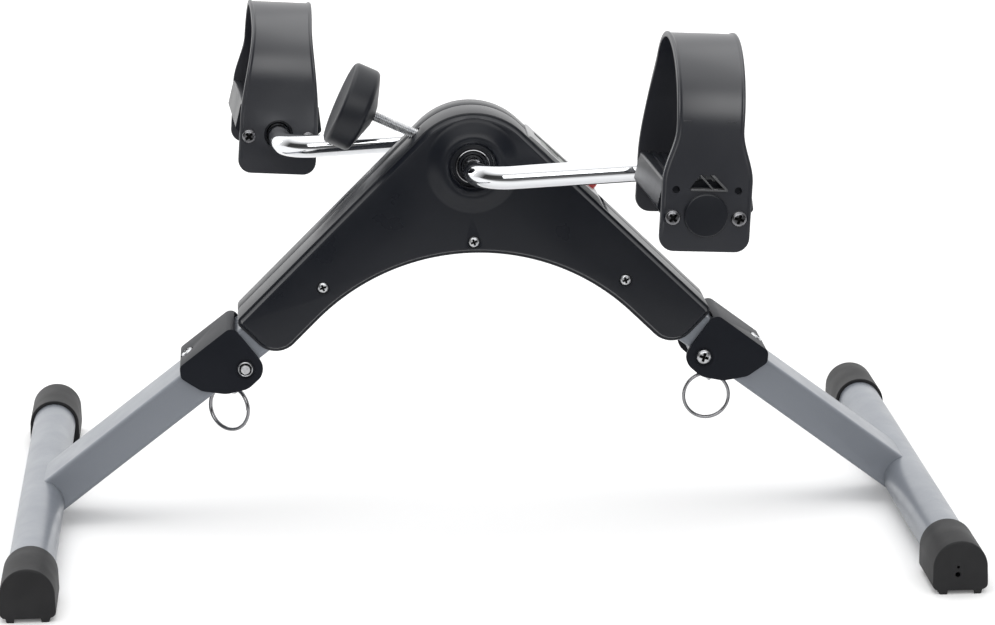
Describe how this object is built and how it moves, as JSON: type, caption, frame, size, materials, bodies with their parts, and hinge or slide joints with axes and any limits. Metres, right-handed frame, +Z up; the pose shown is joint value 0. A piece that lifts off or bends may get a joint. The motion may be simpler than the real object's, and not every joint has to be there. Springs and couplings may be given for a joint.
{
  "type": "folding pedal exerciser",
  "caption": "Folding pedal exerciser: strapped pedals on a bent crank, held by a chevron housing on hinged legs, with a friction knob and a small display.",
  "frame": {"origin": "on the floor, below the middle of the crank's axle", "axes": "+X from the left foot bar to the right foot bar, +Y along the axle away from the side with the cover screws, +Z up"},
  "size_m": [0.51, 0.385, 0.2895],
  "materials": {
    "black_plastic": "fine textured satin black",
    "silver_paint": "smooth silver grey paint",
    "chrome": "bright chrome plate",
    "zinc_steel": "zinc plated steel",
    "rubber": "matt black rubber",
    "strap_vinyl": "smooth flexible vinyl with a soft gloss",
    "lens": "dark glossy window",
    "red_plastic": "satin red",
    "felt": "pressed felt brake lining"
  },
  "bodies": {
    "housing": {"front_cover": "black_plastic", "rear_cover": "black_plastic", "front_side_plate": "zinc_steel", "rear_side_plate": "zinc_steel", "left_frame_tube": "silver_paint", "right_frame_tube": "silver_paint", "front_axle_bush": "black_plastic", "rear_axle_bush": "black_plastic", "front_axle_ring": "chrome", "rear_axle_ring": "chrome", "cover_screw_left": "zinc_steel", "cover_screw_middle": "zinc_steel", "cover_screw_right": "zinc_steel", "tension_nut": "zinc_steel", "speed_sensor": "black_plastic", "display_case": "black_plastic", "display_lens": "lens"},
    "mode_button": {"mode_button": "red_plastic"},
    "crank": {"crank_rod": "chrome", "friction_drum": "zinc_steel", "speed_magnet": "zinc_steel"},
    "brake_shoe": {"brake_shoe": "felt"},
    "tension_knob": {"tension_knob": "black_plastic", "tension_rod": "zinc_steel"},
    "left_pedal": {"left_pedal_body": "black_plastic", "left_pedal_strap": "strap_vinyl", "left_pedal_cap": "black_plastic", "left_inner_strap_screw_1": "zinc_steel", "left_inner_strap_screw_2": "zinc_steel", "left_outer_strap_screw_1": "zinc_steel", "left_outer_strap_screw_2": "zinc_steel"},
    "left_leg": {"left_leg_tube": "silver_paint", "left_foot_tube": "silver_paint", "left_front_foot_cap": "rubber", "left_rear_foot_cap": "rubber", "left_hinge_cover": "black_plastic", "left_hinge_cover_screw": "zinc_steel", "left_hinge_bolt": "zinc_steel", "left_hinge_nut": "zinc_steel", "left_lock_spring": "zinc_steel"},
    "left_lock_pin": {"left_lock_pin": "zinc_steel"},
    "left_pull_ring": {"left_pull_ring": "chrome"},
    "right_pedal": {"right_pedal_body": "black_plastic", "right_pedal_strap": "strap_vinyl", "right_pedal_cap": "black_plastic", "right_inner_strap_screw_1": "zinc_steel", "right_inner_strap_screw_2": "zinc_steel", "right_outer_strap_screw_1": "zinc_steel", "right_outer_strap_screw_2": "zinc_steel"},
    "right_leg": {"right_leg_tube": "silver_paint", "right_foot_tube": "silver_paint", "right_front_foot_cap": "rubber", "right_rear_foot_cap": "rubber", "right_hinge_cover": "black_plastic", "right_hinge_cover_screw": "zinc_steel", "right_hinge_bolt": "zinc_steel", "right_hinge_nut": "zinc_steel", "right_lock_spring": "zinc_steel"},
    "right_lock_pin": {"right_lock_pin": "zinc_steel"},
    "right_pull_ring": {"right_pull_ring": "chrome"}
  },
  "joints": [
    {"name": "crank_spin", "type": "hinge", "parent": "housing", "child": "crank", "pos_m": [0, 0, 0.1985], "axis": [0, 1, 0], "continuous": true},
    {"name": "left_pedal_spin", "type": "hinge", "parent": "crank", "child": "left_pedal", "pos_m": [-0.10192, 0.062, 0.19441], "axis": [-0.0523, 0.9986, 0], "continuous": true},
    {"name": "left_leg_fold", "type": "hinge", "parent": "housing", "child": "left_leg", "pos_m": [-0.1264, 0, 0.088], "axis": [0, -1, 0], "range_deg": [0, 90]},
    {"name": "left_lock_pin_pull", "type": "slide", "parent": "left_leg", "child": "left_lock_pin", "axis": [0.6046, 0, -0.7965], "range_m": [0, 0.0042], "stiffness_N_per_m": 800, "deforming": ["left_lock_spring"]},
    {"name": "left_ring_swing", "type": "hinge", "parent": "left_lock_pin", "child": "left_pull_ring", "pos_m": [-0.13339, 0, 0.0724], "axis": [0.829, -0.5592, 0], "range_deg": [-35, 35]},
    {"name": "right_pedal_spin", "type": "hinge", "parent": "crank", "child": "right_pedal", "pos_m": [0.10192, -0.062, 0.20259], "axis": [0.0523, -0.9986, 0], "continuous": true},
    {"name": "right_leg_fold", "type": "hinge", "parent": "housing", "child": "right_leg", "pos_m": [0.1264, 0, 0.088], "axis": [0, 1, 0], "range_deg": [0, 90]},
    {"name": "right_lock_pin_pull", "type": "slide", "parent": "right_leg", "child": "right_lock_pin", "axis": [-0.6046, 0, -0.7965], "range_m": [0, 0.0042], "stiffness_N_per_m": 800, "deforming": ["right_lock_spring"]},
    {"name": "right_ring_swing", "type": "hinge", "parent": "right_lock_pin", "child": "right_pull_ring", "pos_m": [0.13339, 0, 0.0724], "axis": [1, 0, 0], "range_deg": [-35, 35]},
    {"name": "tension_shoe_slide", "type": "slide", "parent": "housing", "child": "brake_shoe", "axis": [-0.9063, 0, 0.4226], "range_m": [0, 0.0026]},
    {"name": "tension_knob_turn", "type": "hinge", "parent": "brake_shoe", "child": "tension_knob", "pos_m": [-0.05302, 0, 0.22322], "axis": [-0.9063, 0, 0.4226], "range_deg": [0, 900]},
    {"name": "mode_button_press", "type": "slide", "parent": "housing", "child": "mode_button", "axis": [-0.7009, 0, -0.7133], "range_m": [0, 0.0012], "stiffness_N_per_m": 400}
  ],
  "couplings": [
    {"joint": "tension_shoe_slide", "follows": "tension_knob_turn", "m_per_rad": 0.00015915}
  ]
}
